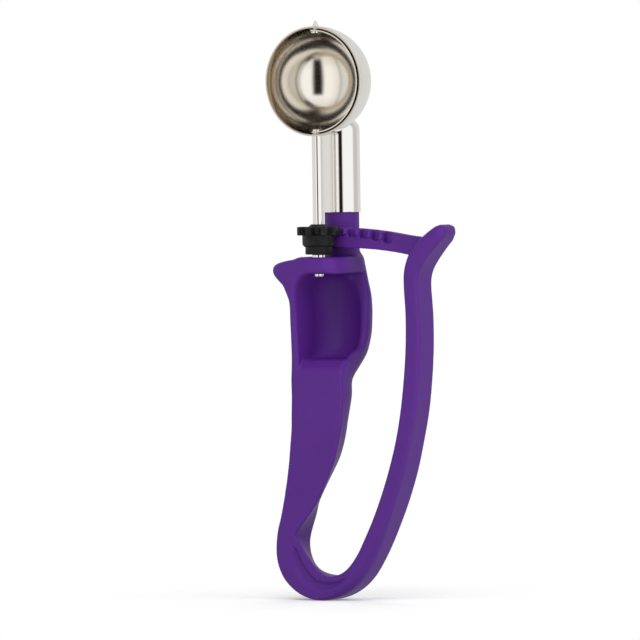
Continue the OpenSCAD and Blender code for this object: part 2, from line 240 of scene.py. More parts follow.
def read(items: Any, name: str, width: int = 1, kind: type = float) -> Array:
    """Values of a property over a mesh's items.

    Args:
        items: The mesh's vertices, loops or polygons.
        name: The property.
        width: Values for each item.
        kind: Their type.

    Returns:
        One row for each item, or one value where the width is 1.
    """
    values = np.empty(len(items) * width, kind)
    items.foreach_get(name, values)
    return values.reshape(-1, width) if width > 1 else values


@dataclass
class Surface:
    """A mesh worked out in millimetres, on its way to being a Blender object."""

    points: Array
    faces: Array

    @classmethod
    def from_grid(cls, grid: Array, loop_rows: bool = False) -> "Surface":
        """Closed columns; a ring of no radius at either end becomes a pole when built."""
        return cls(grid.reshape(-1, 3), grid_faces(grid.shape[0], grid.shape[1], loop_rows))

    def build(self, name: str, sharp_deg: float = 40.0) -> bpy.types.Object:
        """Make the object, with its doubles merged.

        Args:
            name: The piece's name.
            sharp_deg: Edges that turn more than this stay crisp.

        Returns:
            The object.
        """

        def merge(work: bmesh.types.BMesh) -> None:
            """Merge the points that coincide, such as those of a pole."""
            bmesh.ops.remove_doubles(work, verts=work.verts, dist=2e-7)

        obj = mesh_object(name, self.points, self.faces, merge)
        obj.data.set_sharp_from_angle(angle=math.radians(sharp_deg))
        return obj


def dress(
    obj: bpy.types.Object,
    material: bpy.types.Material,
    body: Body,
    nodes: Sequence[str],
) -> None:
    """Give a piece its finish, its body and the solids that it stands for.

    Args:
        obj: The piece.
        material: Its finish.
        body: The body it rides on.
        nodes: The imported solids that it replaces.
    """
    obj.data.materials.append(material)
    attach(obj, body.value)
    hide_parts(*nodes)
    LOG.info("%s: %d faces on %s", obj.name, len(obj.data.polygons), body.value)


# ---- implicit surfaces for the one-piece moulding ----


def smooth_max(a: Array, b: Array, k: float) -> Array:
    """Larger of two fields, with the corner between them rounded over a width k."""
    h = np.maximum(k - np.abs(a - b), 0) / k
    return np.maximum(a, b) + h * h * k / 4


def smooth_min(a: Array, b: Array, k: float) -> Array:
    """Smaller of two fields, with the corner between them filled over a width k."""
    return -smooth_max(-a, -b, k)


def lookup(z: Array, stations: Rows) -> Array:
    """Value between stations, smoothed over 2 mm each way by the weights 1, 2, 1.

    Args:
        z: Heights of the points.
        stations: Height and value of each station.

    Returns:
        One value for each height.
    """
    table = np.asarray(stations, float)
    at = [np.interp(z + s, table[:, 0], table[:, 1]) for s in (-2, 0, 2)]
    return (at[0] + 2 * at[1] + at[2]) / 4


def outline_distance(u: Array, v: Array, corners: Array) -> Array:
    """Signed distance to a closed outline, below zero inside it.

    The nearest point of each side is its start plus a share of the side, the share being the
    projection held to 0..1; a point is inside where an odd number of sides pass above it.

    Args:
        u: First coordinate of the points.
        v: Second coordinate of the points.
        corners: The outline's corners in order.

    Returns:
        One distance for each point.
    """
    shape = np.broadcast_shapes(u.shape, v.shape)
    flat = np.stack([np.broadcast_to(u, shape).ravel(), np.broadcast_to(v, shape).ravel()], -1)
    a, b = corners, np.roll(corners, -1, 0)
    side = b - a
    length2 = np.maximum((side**2).sum(-1), 1e-12)
    found = []
    for p in np.array_split(flat, max(1, len(flat) // 20000)):
        off = p[:, None] - a[None]
        share = np.clip((off * side).sum(-1) / length2, 0, 1)
        gap2 = ((off - share[..., None] * side) ** 2).sum(-1).min(-1)
        spans = (a[None, :, 1] <= p[:, None, 1]) != (b[None, :, 1] <= p[:, None, 1])
        rise = np.where(side[:, 1] == 0, 1e-12, side[:, 1])
        cross = a[None, :, 0] + off[..., 1] / rise * side[:, 0]
        inside = (spans & (cross > p[:, None, 0])).sum(-1) % 2 == 1
        found.append(np.where(inside, -1, 1) * np.sqrt(gap2))
    return np.concatenate(found).reshape(shape)


class Outline:
    """Closed outline whose signed distance is kept in a table and read back smoothly."""

    def __init__(self, corners: Array, pitch: float = 0.5, margin: float = 4.0) -> None:
        """Fill the table on an even grid round the outline.

        Args:
            corners: The outline's corners in order.
            pitch: Step of the table.
            margin: How far the table reaches past the outline.
        """
        self.low, self.pitch = corners.min(0) - margin, pitch
        count = np.ceil((corners.max(0) + margin - self.low) / pitch).astype(int) + 1
        u = self.low[0] + pitch * np.arange(count[0])[:, None]
        v = self.low[1] + pitch * np.arange(count[1])[None, :]
        self.table = outline_distance(u, v, corners)

    def __call__(self, u: Array, v: Array) -> Array:
        """Distance at the points.

        The table is read by the Catmull-Rom kernel over four by four entries: each weight is a
        cubic in the share of a step. Past the table, the gap to it is added.

        Args:
            u: First coordinate of the points.
            v: Second coordinate of the points.

        Returns:
            One distance for each point.
        """
        shape = np.broadcast_shapes(u.shape, v.shape)
        p = np.stack([np.broadcast_to(u, shape).ravel(), np.broadcast_to(v, shape).ravel()], -1)
        size = np.array(self.table.shape)
        at = (p - self.low) / self.pitch
        held = np.clip(at, 1.0, size - 2.001)
        cell = held.astype(int)
        t = held - cell
        weights = 0.5 * np.stack(
            [-t + 2 * t**2 - t**3, 2 - 5 * t**2 + 3 * t**3, t + 4 * t**2 - 3 * t**3, t**3 - t**2]
        )
        found = np.zeros(len(p))
        for i in range(4):
            for j in range(4):
                entry = self.table[cell[:, 0] + i - 1, cell[:, 1] + j - 1]
                found += weights[i, :, 0] * weights[j, :, 1] * entry
        return (found + np.linalg.norm(at - held, axis=-1) * self.pitch).reshape(shape)


def gradient(shape: Field, p: Array, step: float = 0.05) -> Array:
    """Slope of a field at loose points, by central differences.

    Args:
        shape: The field.
        p: The points, one in each row.
        step: How far it is probed each way.

    Returns:
        One slope in each row.
    """
    probes = step * np.eye(3)
    return np.stack([shape(*(p + e).T) - shape(*(p - e).T) for e in probes], -1) / (2 * step)


@dataclass
class Skin:
    """Surface where a field is zero, meshed on an even grid.

    Attributes:
        shape: The field, below zero inside the piece.
        low: Lowest corner of the grid.
        high: Highest corner of the grid.
        cell: Side of a cell.
    """

    shape: Field
    low: Sequence[float]
    high: Sequence[float]
    cell: float

    def net(self) -> Surface:
        """Surface net of the field.

        A cell that the surface crosses gets one point, the mean of the crossings on its twelve
        edges, found by linear interpolation. A grid edge that the surface crosses gets one quad
        through the four cells round it, turned so that it faces the side above zero. The points
        are then moved along the field's slope onto its zero by two Newton steps.

        Returns:
            The skin, in millimetres.
        """
        axes = [np.arange(a, b + self.cell, self.cell) for a, b in zip(self.low, self.high)]
        x, y, z = (v.reshape(s) for v, s in zip(axes, ((-1, 1, 1), (1, -1, 1), (1, 1, -1))))
        value = np.broadcast_to(self.shape(x, y, z), tuple(len(v) for v in axes)).copy()
        inside = value < 0
        n = [s - 1 for s in value.shape]
        corner = [(i, j, k) for i in (0, 1) for j in (0, 1) for k in (0, 1)]

        def part(a: Array, c: tuple[int, int, int]) -> Array:
            """The grid seen from corner c of each cell."""
            return a[c[0] : n[0] + c[0], c[1] : n[1] + c[1], c[2] : n[2] + c[2]]

        count = sum(part(inside, c).astype(np.int8) for c in corner)
        active = (count > 0) & (count < 8)
        cells = np.argwhere(active)
        total, hits = np.zeros((len(cells), 3)), np.zeros((len(cells), 1))
        for c in corner:
            for axis in range(3):
                if c[axis]:
                    continue
                other = tuple(1 if i == axis else c[i] for i in range(3))
                fa, fb = part(value, c)[active], part(value, other)[active]
                crossed = (fa < 0) != (fb < 0)
                at = np.where(crossed, fa / np.where(crossed, fa - fb, 1), 0)
                point = np.tile(np.asarray(c, float), (len(cells), 1))
                point[:, axis] += at
                total += point * crossed[:, None]
                hits += crossed[:, None]
        points = np.asarray(self.low) + (cells + total / hits) * self.cell
        index = np.full(active.shape, -1)
        index[active] = np.arange(len(cells))
        quads = []
        for axis in range(3):
            one, two = (axis + 1) % 3, (axis + 2) % 3
            start = np.take(inside, range(n[axis]), axis)
            end = np.take(inside, range(1, n[axis] + 1), axis)
            at = np.argwhere(start != end)
            at = at[((at[:, one] > 0) & (at[:, two] > 0)).nonzero()[0]]
            at = at[(at[:, one] < n[one]) & (at[:, two] < n[two])]
            step = np.eye(3, dtype=int)
            ring = [at, at - step[one], at - step[one] - step[two], at - step[two]]
            quad = np.stack([index[tuple(r.T)] for r in ring], axis=-1)
            outward = start[tuple(at.T)]
            quads.append(np.where(outward[:, None], quad, quad[:, ::-1]))
        probe, flattest = 0.02, 0.05
        for _ in range(2):
            here = self.shape(*points.T)
            beside = [self.shape(*(points + e).T) for e in probe * np.eye(3)]
            slope = (np.stack(beside, axis=-1) - here[:, None]) / probe
            size = np.maximum((slope**2).sum(-1), flattest)
            move = np.clip(here / size, -self.cell, self.cell)
            points = points - move[:, None] * slope
        return Surface(points, np.concatenate(quads))

    def build(self, name: str, cut: tuple[Array, Sequence[float]]) -> bpy.types.Object:
        """Make the object, cut flat where it meets its neighbour.

        Args:
            name: The piece's name.
            cut: A point of the flat end and its outward normal; what lies beyond is removed.

        Returns:
            The object, shaded with the field's own slope so that neighbours shade as one.
        """

        def trim(work: bmesh.types.BMesh) -> None:
            """Cut the end off and close it with a flat face.

            Args:
                work: The mesh being built.
            """
            bmesh.ops.bisect_plane(
                work,
                geom=work.verts[:] + work.edges[:] + work.faces[:],
                dist=1e-7,
                plane_co=Vector(cut[0] * MM),
                plane_no=Vector(cut[1]),
                clear_outer=True,
            )
            rim = [edge for edge in work.edges if edge.is_boundary]
            bmesh.ops.holes_fill(work, edges=rim, sides=0)

        surface = self.net()
        obj = mesh_object(name, surface.points, surface.faces, trim)
        self.shade(obj.data)
        return obj

    def shade(self, mesh: bpy.types.Mesh) -> None:
        """Set each corner's normal to the field's slope, and to the face's own on a flat end.

        Args:
            mesh: The piece's mesh.
        """
        slope = unit(gradient(self.shape, read(mesh.vertices, "co", 3) / MM))
        normal = slope[read(mesh.loops, "vertex_index", kind=int)]
        corners = read(mesh.polygons, "loop_total", kind=int)
        own = np.repeat(read(mesh.polygons, "normal", 3), corners, axis=0)
        flat = (normal * own).sum(-1, keepdims=True) < 0.6
        mesh.normals_split_custom_set(np.where(flat, own, normal).tolist())


# ---- the purple moulding ----

# Outlines [x, z] of the moulding: the strap's outer edge from the neck round the bow to the
# hook, its inner edge on the lever, and round the bend at the back and in front, the groove,
# the rack arm, and the neck above the bend.
OUTER_EDGE = [
    [-19.8, -44], [-21.2, -49], [-21.9, -54], [-21.9, -59], [-20.6, -64], [-17.7, -68.7],
    [-12.2, -73], [-4.6, -75.3], [3, -74.3], [9.8, -71], [15, -66.2], [19.2, -60],
    [22.9, -53.2], [26.4, -45.7], [30, -37.1], [33.6, -26.6], [36.5, -15], [38.8, -4],
    [40.3, 8], [41.1, 20], [41.1, 32], [40.4, 43], [41.2, 48.2], [43.8, 52.6], [47, 56.4],
    [50.3, 59.8], [51.6, 62.4],
]  # fmt: skip
HOOK_TIP = [51.3, 64.6]
LEVER_INNER = [
    [13.4, -58], [16.7, -52], [20.2, -45], [23.6, -37], [27.4, -26.5], [30.7, -15],
    [32.9, -4], [34.5, 8], [35.5, 20], [35.7, 32], [35.1, 43], [35.3, 48.5], [36.6, 53],
    [38.6, 57], [42, 60.6], [45.2, 63.1], [47.8, 64.8], [49.7, 65.4],
]  # fmt: skip
BACK_INNER = [
    [-11, -44], [-12.8, -49.5], [-13.8, -54], [-13.4, -58.5], [-11.6, -62.6],
    [-7.8, -65.6], [-1.5, -66.6], [4.4, -65.9], [9.2, -63.2],
]  # fmt: skip
FRONT_INNER = [
    [-8.2, -44], [-12.4, -48.9], [-13.5, -51.3], [-11.6, -54.2], [-7.6, -59.2],
    [-3.4, -64.5], [0.2, -66.3], [4.8, -65.8], [9.2, -63.2],
]  # fmt: skip
GROOVE_OUTER = [
    [-14, -55.5], [-14.2, -61.5], [-11.6, -66.6], [-8.3, -69.2], [-4.2, -70.8], [0.8, -70.6],
    [4.8, -69.2], [8, -67],
]  # fmt: skip
GROOVE_INNER = [
    [5, -68.2], [0, -68.7], [-4, -67.9], [-7.6, -65.2], [-10.8, -61], [-12.8, -56.5],
]  # fmt: skip
ARM_TOP = [
    [-6.5, 64.6], [0, 65], [8, 64.9], [16, 64.4], [22, 63.8], [28, 63], [34, 62], [40, 61.2],
]  # fmt: skip
ARM_LOW = [[40, 53.6], [34, 54.8], [28, 55.8], [20, 56.7], [10, 57.3], [0, 57.6], [-6.5, 57.5]]
NECK_OUTER = [[-14.1, -22], [-16.4, -31], [-18.4, -38]]
NECK_BACK = [[1, -22], [-5, -31], [-9.2, -38]]
NECK_FRONT = [[6.6, -22], [1.9, -31], [-3, -38]]
# Corners that close the strap's outer edge far out on its inner side.
INNER_SIDE = [[80, 90], [80, 120], [-60, 120], [-60, -10]]
# A place well ahead of the moulding.
FAR_AHEAD = -30.0


@dataclass
class Moulding:
    """One-piece handle: grip, spring bow, squeeze lever and rack arm in satin polypropylene.

    The three visible pieces are one continuous skin. The grip stays with the handle, and the
    lever with its rack arm turns with the lever; the bow between them is put on neither body.
    Each field takes the x, y and z of the points and is below zero inside the material.
    """

    # Heights of the neck, the flexing centre, the shelf, the palm swell, the ledge and the boss.
    neck_z: float = -44.0
    hinge_z: float = -57.0
    shelf_low: float = 47.7
    shelf_top: float = 54.0
    shelf_slope: float = 0.13
    palm_z: float = 31.0
    ledge_z: float = 11.4
    ledge_rise: float = 4.0
    ledge_slope: float = 0.95
    boss_top: float = 76.0
    # Half widths of the shelf, the grip and the palm swell, and the reach of the thumb rest.
    shelf_half: float = 9.0
    grip_half: float = 10.7
    palm_half: float = 12.0
    thumb_reach: float = 20.2
    # The pocket's walls, the grip's front and the depth of the cut through the right wall.
    pocket_left: float = 3.5
    pocket_wall: float = 1.9
    pocket_back: float = 8.0
    grip_front: float = 3.0
    side_cut: float = 16.8
    # The boss round the stem tube, the strap from front to back and the groove in the bow.
    tube_y: float = 17.9
    boss_r: float = 6.55
    strap_front: float = 2.0
    strap_back: float = 14.5
    groove_depth: float = 1.2
    # The rack arm: its front and back, and the radii of the toothed band, of the pitch line and
    # of the room for the pinion, all about the flexing centre.
    arm_front: float = 5.5
    arm_back: float = 10.9
    band_r: float = 118.9
    rack_r: float = 120.85
    front_r: float = 119.6
    room_x: float = 28.0
    body_clear: float = 6.45
    # The tooth spaces: the pinion's teeth and pitch, the play, the flank's lean on either side
    # of the pitch line, how far back a space goes, and the first and the last space.
    teeth: int = 8
    pitch_r: float = 6.6
    backlash: float = 0.3
    press_deg: float = 12.0
    relief: float = 0.47
    space_back: float = 8.45
    spaces: tuple[int, int] = (-1, 5)

    def __post_init__(self) -> None:
        """Work out the outlines and the grip's edges once."""
        outer = smooth_curve(NECK_OUTER + OUTER_EDGE[:-1])
        tip = smooth_curve([OUTER_EDGE[-1], HOOK_TIP, LEVER_INNER[-1]], 3)
        rim = np.concatenate([outer, tip])
        back = smooth_curve(NECK_BACK + BACK_INNER + LEVER_INNER[:-1])
        front = smooth_curve(NECK_FRONT + FRONT_INNER + LEVER_INNER[:-1])
        groove = smooth_curve(GROOVE_OUTER), smooth_curve(GROOVE_INNER)
        self.strap_far = Outline(np.concatenate([rim, back[::-1]]))
        self.strap_near = Outline(np.concatenate([rim, front[::-1]]))
        self.strap_wide = Outline(np.concatenate([outer, INNER_SIDE]), 1.0)
        self.groove = Outline(np.concatenate(groove), 0.3)
        self.arm = Outline(np.concatenate([smooth_curve(ARM_TOP), smooth_curve(ARM_LOW)]))
        self.wing_side = Outline(smooth_curve(self.wing_from_front()), 0.4)
        self.wing_plan = Outline(smooth_curve(self.wing_from_above()), 0.4)
        self.window = Outline(self.window_corners())
        self.edges = self.section_edges()

    def wing_from_front(self) -> Rows:
        """Outline [x, z] of the thumb rest."""
        s, t, r, p = self.shelf_half, self.shelf_top, self.thumb_reach, self.palm_half
        return [
            [-s + 3, t - 0.8], [-s + 1, t - 0.8], [-12, t - 1.15], [-r + 3.3, t - 2.2],
            [-r + 0.2, t - 3.4], [-r - 0.6, t - 4.9], [-r + 0.2, t - 6.5], [-r + 2.6, t - 8.2],
            [-14.7, t - 10.4], [-12.4, t - 13.2], [-p + 1.6, t - 16], [-p + 2.6, t - 18],
            [-p + 3.6, t - 18], [-p + 4.2, t - 8], [-s + 3, t - 3],
        ]  # fmt: skip

    def wing_from_above(self) -> Rows:
        """Outline [x, y] of the thumb rest."""
        s, r = self.shelf_half, self.thumb_reach
        return [
            [-s + 4, -3.4], [-s, -3.8], [-13, -3.8], [-16.5, -3], [-r + 0.8, -1.2],
            [-r - 0.5, 2.4], [-r + 1.2, 6.2], [-15, 9.4], [-s - 1, 12], [-s + 4, 13],
        ]  # fmt: skip

    def window_corners(self) -> Array:
        """Outline of the cut through the pocket's right wall, open in front.

        Returns:
            Its corners [y, z].
        """
        c, low, top = self.side_cut, self.ledge_z, 50
        edge = [
            [3, low - 2], [3.5, low + 4.2], [7, low + 6.6], [c - 3.5, low + 9.1],
            [c - 1.2, low + 13.6], [c - 0.3, self.palm_z + 2], [c, top],
        ]  # fmt: skip
        return np.concatenate([[[FAR_AHEAD, low - 2]], smooth_curve(edge, 5), [[FAR_AHEAD, top]]])

    def section_edges(self) -> dict[str, Rows]:
        """Edges of the grip's section up its height.

        Returns:
            Stations [height, place] for each edge.
        """
        h, g, p, s = self.shelf_low, self.grip_half, self.palm_half, self.shelf_half
        top = [[14, g], [self.palm_z, p - 0.4], [40, p], [h, s + 1.6], [self.shelf_top, s]]
        return {
            "left": [
                [-44, -19.8], [-38, -18.3], [-31, -16], [-22, -13.8], [-10, -g - 1],
                [2, -g - 0.6], [14, -g - 0.9], [self.palm_z, -p - 0.4], [40, -p - 0.4],
                [h, -s - 1.6], [self.shelf_top, -s],
            ],
            "right_front": [
                [-44, -7.9], [-38, -2.85], [-31, 1.8], [-22, 6.4], [-10, g - 0.6],
                [2, g + 0.2], *top,
            ],
            "right_back": [
                [-44, -10.9], [-38, -9.2], [-31, -5], [-22, 1], [-10, g - 3.5],
                [2, g + 0.2], *top,
            ],
            "front": [
                [-44, 2], [-38, 1.7], [-31, 0.4], [-20, -1.6], [-8, -3], [40, -3], [h, -5],
                [self.shelf_top, -5],
            ],
            "middle": [
                [-44, 8], [-31, 4], [-10, 1], [8, 0.5], [12, 5.5], [17, 12], [25, 16],
                [33, 16], [44, 13.8], [self.shelf_top, 14.5],
            ],
            "back": [
                [-44, 14.5], [-36, 14.2], [-10, 12.8], [8, 12.8], [12, 18.8], [17, 25.2],
                [22, 27.3], [27, 28], [35, 28], [44, 26], [self.shelf_top, 24.45],
            ],
        }  # fmt: skip

    def section(
        self,
        x: Array,
        y: Array,
        z: Array,
        walls: Sequence[float] = (0.0, 0.0, 0.0),
        front: Optional[float] = None,
    ) -> Array:
        """Distance to the grip's section.

        At each height the section is a superellipse: |u|^n + |w|^n = 1, with u and w the offsets
        from its middle over its half widths. Ahead of the middle n is 12, and 3.6 at the shelf;
        behind it n is 2.2, and 8 at the neck. The field is (norm - 1) over the norm's own slope,
        which is close to a distance.

        Args:
            x, y, z: The points.
            walls: How far the left edge, the right edge and the back are moved in.
            front: Place of the front edge, or None for the grip's own.

        Returns:
            The field at the points.
        """
        place = {name: lookup(z, stations) for name, stations in self.edges.items()}
        left_wall, right_wall, back_wall = walls
        near = place["front"] if front is None else front
        mid = place["middle"] - 0.6 * back_wall
        far = np.maximum(place["back"] - back_wall, mid + 2)
        left = place["left"] + left_wall
        right_near = place["right_front"] - right_wall
        right_far = place["right_back"] - right_wall
        right = right_near + (right_far - right_near) * ramp(y, near, far)
        a, b = (right - left) / 2, np.where(y < mid, mid - near, far - mid)
        ahead = 12.0 - 8.4 * ramp(z, 41, 49)
        behind = 2.2 + 5.8 * smoothstep(ramp(z, -8, -32))
        n = np.where(y < mid, ahead, behind)
        u, w = np.abs(x - (left + right) / 2) / a, np.abs(y - mid) / b
        norm = np.maximum((u**n + w**n) ** (1 / n), 1e-3)
        slope = norm ** (1 - n) * np.sqrt((u ** (n - 1) / a) ** 2 + (w ** (n - 1) / b) ** 2)
        return (norm - 1) / np.maximum(slope, 0.03)

    def pocket(self, x: Array, y: Array, z: Array) -> Array:
        """Finger pocket, below zero where it takes material out.

        It is the section moved in by its walls and open in front, joined with the cut through
        the right wall, and held between the bevelled ledge and the shelf.

        Args:
            x, y, z: The points.

        Returns:
            The field at the points.
        """
        walls = self.pocket_left, self.pocket_wall, self.pocket_back
        hollow = self.section(x, y, z, walls, FAR_AHEAD)
        hollow = smooth_max(hollow, z - self.shelf_low, 6.5)
        window = smooth_max(self.window(y, z), self.grip_half / 3 - x, 2.0)
        window = smooth_max(window, z - self.shelf_low, 2.0)
        bevel = (self.ledge_z + self.ledge_slope * (y + self.grip_front) - z) * 0.72
        ledge = smooth_min(bevel, self.ledge_z + self.ledge_rise - z, 0.8)
        return smooth_max(smooth_min(hollow, window, 1.2), ledge, 1.0)

    def grip_field(self, x: Array, y: Array, z: Array) -> Array:
        """Grip with its boss and thumb rest joined on and the pocket taken out.

        The shelf's top falls away to the left. The neck passes smoothly into the strap over the
        10 mm above the bend.

        Args:
            x, y, z: The points.

        Returns:
            The field at the points.
        """
        top = z - self.shelf_top + self.shelf_slope * np.clip(-2 - x, 0, 8)
        body = smooth_max(self.section(x, y, z), top, 1.8)
        wing = smooth_max(self.wing_side(x, z), self.wing_plan(x, y), 2.0)
        body = smooth_min(body, wing, 3.2)
        round_boss = np.sqrt(x**2 + (y - self.tube_y) ** 2) - self.boss_r
        boss = np.maximum(smooth_max(round_boss, z - self.boss_top, 1.0), self.shelf_low + 2 - z)
        body = smooth_min(body, boss, 3.0)
        body = smooth_max(body, -self.pocket(x, y, z), 2.0)
        share = smoothstep(ramp(z, self.neck_z + 11, self.neck_z + 1))
        return body * (1 - share) + self.strap_field(x, y, z) * share

    def strap_field(self, x: Array, y: Array, z: Array) -> Array:
        """Strap of the bow and the lever.

        It is what lies within the outer edge, outside the inner edge and between the front and
        the back; the inner edge passes evenly from its line at the back to its line in front.
        The corners are rounded, most of all the outer front one and the tip of the hook.

        Args:
            x, y, z: The points.

        Returns:
            The field at the points.
        """
        share = ramp(y, self.strap_back, self.strap_front)
        flat = self.strap_far(x, z) * (1 - share) + self.strap_near(x, z) * share
        wide = self.strap_wide(x, z)
        ahead = self.strap_front - y
        middle = (self.strap_front + self.strap_back) / 2
        thick = np.abs(y - middle) - (self.strap_back - middle)
        body = smooth_max(flat - 0.25, smooth_max(ahead, y - self.strap_back, 0.5), 1.2)
        tip = ramp(z, 54, 62)
        body = body * (1 - tip) + tip * smooth_max(flat - 0.5, thick, 3.6)
        low = ramp(z, -40, -60) * ramp(x, -4, 8)
        return smooth_max(body, smooth_max(wide - 0.2, ahead, 2.0 + 3.0 * low), 0.4)

    def bow_field(self, x: Array, y: Array, z: Array) -> Array:
        """Bow: the grip's field on the neck's side and the strap's on the lever's, with the
        shallow crescent groove taken out of the front of the bend.

        Args:
            x, y, z: The points.

        Returns:
            The field at the points.
        """
        floor = y - self.strap_front - self.groove_depth
        groove = smooth_max(self.groove(x, z), floor, 1.4)
        whole = np.where(x < 4, self.grip_field(x, y, z), self.strap_field(x, y, z))
        return smooth_max(whole, -groove, 1.1)

    def arm_field(self, x: Array, y: Array, z: Array) -> Array:
        """Rack arm: its side outline between its front and back, less the room for the pinion.

        A tooth space is |x'| below half its width at that depth, above the band's radius, in the
        axes of the nearest space; the spaces repeat round the flexing centre at equal angles.

        Args:
            x, y, z: The points.

        Returns:
            The field at the points.
        """
        body = smooth_max(self.arm(x, z), self.arm_front - y, 0.6)
        body = smooth_max(body, y - self.arm_back, 0.8)
        up = z - self.hinge_z
        radius, angle = np.sqrt(x**2 + up**2), np.arctan2(x, up)
        pitch = 2 * np.pi * self.pitch_r / self.teeth
        step = pitch / self.rack_r
        turn = angle - step * np.clip(np.round(angle / step), *self.spaces)
        press = math.radians(self.press_deg)
        lean = np.where(y < self.pitch_r, self.relief, math.tan(press))
        half = (pitch + self.backlash) / 4 - (y - self.pitch_r) * lean
        across = (np.abs(radius * np.sin(turn)) - half) * math.cos(press)
        space = smooth_max(across, self.band_r - radius * np.cos(turn), 0.5)
        body = smooth_max(body, -np.maximum(space, y - self.space_back), 0.7)
        room = np.minimum(radius - self.front_r, self.room_x - x)
        return smooth_max(body, -np.maximum(room, y - self.body_clear), 0.3)

    def lever_field(self, x: Array, y: Array, z: Array) -> Array:
        """Strap of the lever with the rack arm joined on by a soft moulded fillet."""
        strap = np.maximum(self.strap_field(x, y, z), 10 - x)
        return smooth_min(strap, self.arm_field(x, y, z), 2.6)

    def build(self, purple: bpy.types.Material, quick: bool) -> None:
        """Mesh and dress the three visible pieces.

        Args:
            purple: The satin polypropylene.
            quick: Whether a coarse mesh will do.
        """
        cell = 1.0 if quick else 0.5
        down, up = [(np.array([0, 0, self.neck_z]), s) for s in ([0, 0, -1], [0, 0, 1])]
        # Each box reaches a little past its piece.
        grip_skin = Skin(self.grip_field, (-22.6, -7.6, -47), (14, 29.5, 77.5), cell)
        bow_skin = Skin(self.bow_field, (-23.5, 0.6, -77), (30, 16, -40.5), cell * 0.9)
        lever_skin = Skin(self.lever_field, (-8.5, 0.6, -47), (53.5, 16, 68), cell * 0.9)
        grip = grip_skin.build("grip_moulding", down)
        bow = bow_skin.build("bow_moulding", up)
        lever = lever_skin.build("lever_moulding", down)
        dress(grip, purple, Body.HANDLE, ["handle_grip"])
        dress(lever, purple, Body.LEVER, ["squeeze_lever", "rack_arm"])
        bow.data.materials.append(purple)
        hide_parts("spring_bow")
        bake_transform(bow)
        LOG.info("%s: blended from handle to lever", bow.name)


# ---- bowl, scraper and drive ----


@dataclass
class Bowl:
    """Spun stainless bowl: a half ball with a short straight skirt."""

    radius: float = 20.65
    wall: float = 0.8
    skirt: float = 2.5
    height: float = 120.0
    lip: float = 0.12

    def build(self, steel: bpy.types.Material) -> None:
        """Turn and dress the bowl.

        The profile is outer ball, skirt, rounded rim, inner skirt and inner ball, turned about
        the bowl's axis and laid over so that the axis points to -Y.

        Args:
            steel: The spun stainless.
        """
        inner = self.radius - self.wall
        a = np.linspace(0, np.pi / 2, 72)[:, None]
        ball = np.concatenate([np.sin(a), -np.cos(a)], axis=1)
        corners = [[self.radius, 0], [self.radius, self.skirt], [inner, self.skirt], [inner, 0]]
        rim = eased(corners, [0, self.lip, self.lip, 0])
        profile = np.concatenate([self.radius * ball[:-1], rim, inner * ball[-2::-1]])
        grid = turned(profile, 256)
        laid = np.stack([grid[..., 0], -grid[..., 2], grid[..., 1] + self.height], axis=-1)
        obj = Surface.from_grid(laid).build("bowl_spun", 60)
        dress(obj, steel, Body.HANDLE, ["bowl"])


